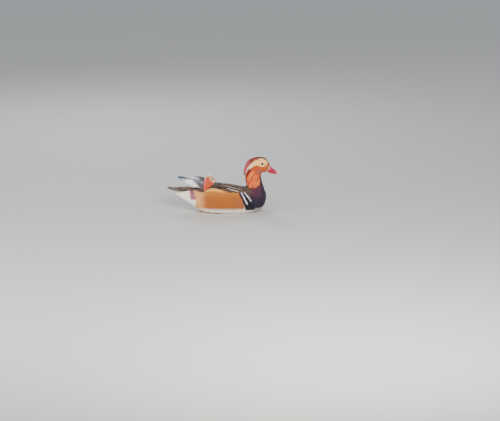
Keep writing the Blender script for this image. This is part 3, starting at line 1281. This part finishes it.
# %% Tail fan
TAIL_PAIRS = 7
spots, face = [], []
for pair in range(TAIL_PAIRS - 1, -1, -1):
    for hand in (-1, 1):
        share = (pair + 0.35) / (TAIL_PAIRS - 0.65)
        yaw, reach = hand * share * math.radians(15), 82 - 22 * share * share
        root = np.array([-108, hand * share * 11, 79.5 - 4.5 * share])
        tip = root + [-reach * math.cos(yaw), reach * math.sin(yaw), 0]
        tip[2] = 83 - 4.5 * share + 0.25 * hand
        spots.append(bezier(root, (root + tip) / 2 - [0, 0, 1.2], tip, QUILL["v"]))
        face.append((0, hand * share * 0.3, 1))
spine = facing(np.stack(spots), unit(np.array(face, float))[:, None])
colours = per_feather(len(spots), QUILL, rgb(84, 72, 64), rgb(60, 50, 46), 0.85)
feathers("tail_fan", spine, QUILL, 6.4, (0.0, 0.0), colours, quill_plumage, "tail_feathers", ("tail",),
         thick=0.7, cup=0.05)

# %% [markdown]
# The tail coverts grow over the roots of the fan. Their lengths vary far more than those of the
# wing's feathers, which gives them a soft, ragged edge.

# %% Tail coverts
COVERTS = 44
aside = chance.uniform(-1, 1, COVERTS)
roots = np.stack([chance.uniform(-112, -92, COVERTS), aside * 15, 79 - 3.5 * aside**2], 1)
reach = vary(np.full(COVERTS, 40.0), 0.25)
tips = roots + np.stack([-reach, aside * 8, np.full(COVERTS, 3.0)], 1)
v = np.array(STRAP["v"])[None, :, None]
spots = roots[:, None] * (1 - v) + tips[:, None] * v + [0, 0, 1] * np.sin(v * math.pi) * 2.2
spine = facing(spots, unit(np.stack([0 * aside, aside * 0.4, np.ones(COVERTS)], 1))[:, None])
colours = per_feather(COVERTS, STRAP, rgb(92, 74, 64), rgb(70, 56, 50), 0.85)
feathers("tail_coverts", spine, STRAP, vary(np.full(COVERTS, 4.2), 0.1), (-0.5, 1.2), colours, wing_plumage,
         "tail_feathers", thick=0.5, cup=0.2)

# %% [markdown]
# ## Eyes
# A drake's eye is dark brown with a black pupil, set in a thin pale lid. The ball is a true
# sphere seated deep in the head, and the clear front is a coat over the iris colours, which
# depend on how far a point lies from the eye's own axis.

# %% Finishes of eye and lid
eye_finish, n, shader = material("eye", 0.45, coat=0.8, coat_roughness=0.03, shine=0.1)
to_axis = {"Vector": n.place(), "Location": (-EYE[0] * MM, 0, -EYE[2] * MM), "Scale": (1, 0, 1)}
radius = n.put("VectorMath", {0: n.put("Mapping", to_axis)[0]}, operation="LENGTH")["Value"]
iris = n.tree.nodes.new("ShaderNodeValToRGB")
n.fill(iris.inputs["Fac"], n.calc("DIVIDE", radius, EYE_RADIUS * MM))
ring = iris.color_ramp.elements
ring[0].position, ring[0].color = 0.44, (0.002, 0.002, 0.002, 1)
ring[1].position, ring[1].color = 0.5, (0.07, 0.018, 0.006, 1)
ring.new(0.8).color = (0.035, 0.009, 0.004, 1)
ring.new(0.92).color = (0.006, 0.003, 0.002, 1)
n.fill(shader["Base Color"], iris.outputs[0])
lid_finish, n, shader = material("lid", 0.55)
n.fill(shader["Base Color"], n.use(MOTTLE, Colour=(0.5, 0.33, 0.2, 1), Size=900.0, Amount=0.8)[0])
print("iris steps at", [round(step.position, 2) for step in ring])

# %% [markdown]
# The lid is a thin ring of skin. A small circle is spun about the eye's axis, and the ring is
# then drawn out lengthwise and pressed flatter above than below, as a calm bird's lid is.

# %% Eyeballs and lids
LID_RADIUS, LID_THICKNESS = 4.75, 1.0
for side, hand in (("right", -1), ("left", 1)):
    centre = EYE * [1, hand, 1]
    bm = bmesh.new()
    bmesh.ops.create_uvsphere(bm, u_segments=40, v_segments=28, radius=EYE_RADIUS * MM)
    bmesh.ops.translate(bm, verts=bm.verts, vec=centre * MM)
    new_piece("eyeball_" + side, mesh_of(bm, "eyeball_" + side), eye_finish, ["eye_" + side])
    bm = bmesh.new()
    rim = bmesh.ops.create_circle(bm, cap_ends=False, segments=12, radius=LID_THICKNESS / 2 * MM)["verts"]
    bmesh.ops.translate(bm, verts=rim, vec=(LID_RADIUS * MM, 0, 0))
    bmesh.ops.spin(bm, geom=bm.verts[:] + bm.edges[:], axis=(0, 1, 0), cent=(0, 0, 0), angle=2 * math.pi,
                   steps=40, use_merge=True)
    for vert in bm.verts:
        vert.co.x *= 1.1
        vert.co.z *= 0.9 if vert.co.z > 0 else 0.98
    bmesh.ops.translate(bm, verts=bm.verts, vec=(centre + [-0.2, hand * 2.4, 0]) * MM)
    bmesh.ops.recalc_face_normals(bm, faces=bm.faces)
    new_piece("eyelid_" + side, mesh_of(bm, "eyelid_" + side), lid_finish)
print("eyes are", 2 * EYE_RADIUS, "mm across")

# %% [markdown]
# ## The bill
# The bill is smooth red horn over bone, with an oval nostril near the top of each side, a fine
# groove along the cutting edge, and a pale hooked nail at the tip. Each half is a lofted form with
# enough sections for these to be pushed into its surface.

# %% Horn
NOSTRIL_X, NOSTRIL_Z = 167.5, 145.2
horn, n, shader = material("bill horn", 0.36, coat=0.15, coat_roughness=0.25, shine=0.4)
spot = n.place()
parts = n.put("SeparateXYZ", {0: spot})
stretched = n.put("Mapping", {"Vector": spot, "Scale": (0.3, 1, 1)})[0]
veins = n.put("TexNoise", {"Vector": stretched, "Scale": 420.0, "Detail": 5.0})[0]
red = n.blend(veins, (0.24, 0.003, 0.024, 1), (0.46, 0.01, 0.056, 1))
red = n.blend(n.times(n.rise(parts[2], 0.142, 0.012), 0.3), red, (0.62, 0.05, 0.1, 1))
to_nail = n.blend(n.rise(parts[0], 0.178, 0.008), red, (0.8, 0.46, 0.34, 1))
centre = (NOSTRIL_X * MM, 0, NOSTRIL_Z * MM)
oval = {"Vector": spot, "Location": centre, "Rotation": (0, 0.657, 0), "Scale": (0.0029, 1, 0.0011)}
inside = n.put("Mapping", oval, vector_type="TEXTURE")[0]
hole = n.put("VectorMath", {0: inside}, operation="LENGTH")["Value"]
hole = n.calc("MULTIPLY", n.calc("SUBTRACT", 1.0, hole), 3.0, clamp=True)
n.fill(shader["Base Color"], n.blend(hole, to_nail, (0.03, 0.002, 0.005, 1)))
n.fill(shader["Normal"], n.bump(veins, 0.15, 0.0003))
print("horn is ready")

# %% [markdown]
# The upper half arches down from the forehead and closes over the lower one. Each section gives
# x and height above, x and height below, and half the width.

# %% Upper and lower bill
BILL = [
    (152, 146, 152, 146, 0), (158, 157, 154, 139, 7.7), (166, 150.5, 162, 136, 8.6),
    (174, 144, 172, 133.4, 7.6), (182, 139.3, 181, 131.4, 7.0), (187.5, 136.3, 187, 130, 5.2),
    (189.5, 132.8, 189.5, 132.8, 0),
]
NAIL = [
    (180, 139, 180, 139, 0), (183, 139.6, 183, 134, 2.6), (187, 137.3, 186, 132, 3.2),
    (189.6, 134, 188, 130.4, 2.2), (189.2, 129.6, 189.2, 129.6, 0),
]
LOWER_BILL = [
    (149, 138.5, 149, 138.5, 0), (154, 141, 154, 133.5, 6.9), (164, 137, 163, 130.5, 7.3),
    (176, 134, 175, 128.5, 6.4), (183, 132, 183, 127.6, 5.2), (186.5, 129.5, 186.5, 129.5, 0),
]
NOSTRIL_LENGTH, NOSTRIL_HEIGHT, NOSTRIL_DEPTH = 6.0, 2.6, 1.9
GROOVE_WIDTH, GROOVE_DEPTH = 1.4, 0.35


def carve(bm):
    """Presses the nostril and the groove above the cutting edge into both sides."""
    for vert in bm.verts:
        x, y, z = np.array(vert.co) / MM
        ahead, above = x - NOSTRIL_X, z - NOSTRIL_Z
        along, over = ahead * 0.79 - above * 0.61, ahead * 0.61 + above * 0.79
        from_rim = 1 - (along / NOSTRIL_LENGTH * 2) ** 2 - (over / NOSTRIL_HEIGHT * 2) ** 2
        nostril = NOSTRIL_DEPTH * min(1, 2 * max(0.0, from_rim))
        from_edge = z - (139 - 0.27 * (x - 155))
        groove = GROOVE_DEPTH * math.exp(-((from_edge / GROOVE_WIDTH * 2) ** 2))
        if abs(y) > 2:
            vert.co.y -= math.copysign(nostril + groove, y) * MM


for name, mesh_name, stations, power, segments, rings, nodes in (
    ("bill_upper_horn", "bill_upper", BILL, 2.3, 64, 64, ["bill_upper"]),
    ("bill_nail", "bill_nail", NAIL, 2.2, 32, 24, []),
    ("bill_lower_horn", "bill_lower", LOWER_BILL, 2.3, 48, 40, ["bill_lower"]),
):
    bm = bmesh.new()
    loft(bm, lengthwise(stations, power), segments, rings)
    if name == "bill_upper_horn":
        carve(bm)
    new_piece(name, mesh_of(bm, mesh_name), horn, nodes)
    print(name, "made from", len(stations), "sections")

# %% [markdown]
# ## Legs and feet
# The feet are tucked under the belly, and the solids already have their toes, claws and webs.
# They keep those meshes, with a scaled orange skin that darkens to olive on the thin webs.

# %% Foot skin
foot_skin, n, shader = material("foot skin", 0.5)
spot = n.place()
scales = n.put("TexVoronoi", {"Vector": spot, "Scale": 700.0}, feature="DISTANCE_TO_EDGE")["Distance"]
lines = n.calc("MULTIPLY", scales, 5.0, clamp=True)
toe = n.rise(n.put("SeparateXYZ", {0: spot})[2], 0.0019, 0.0008)
tone = n.blend(toe, (0.07, 0.045, 0.03, 1), (0.62, 0.26, 0.06, 1))
n.fill(shader["Base Color"], n.blend(lines, (0.05, 0.03, 0.02, 1), tone))
n.fill(shader["Normal"], n.bump(lines, 0.5, 0.0004))
for node in ("leg_right", "foot_right", "leg_left", "foot_left"):
    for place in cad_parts[node].material_slots:
        place.material = foot_skin
print("feet and legs keep their solids")
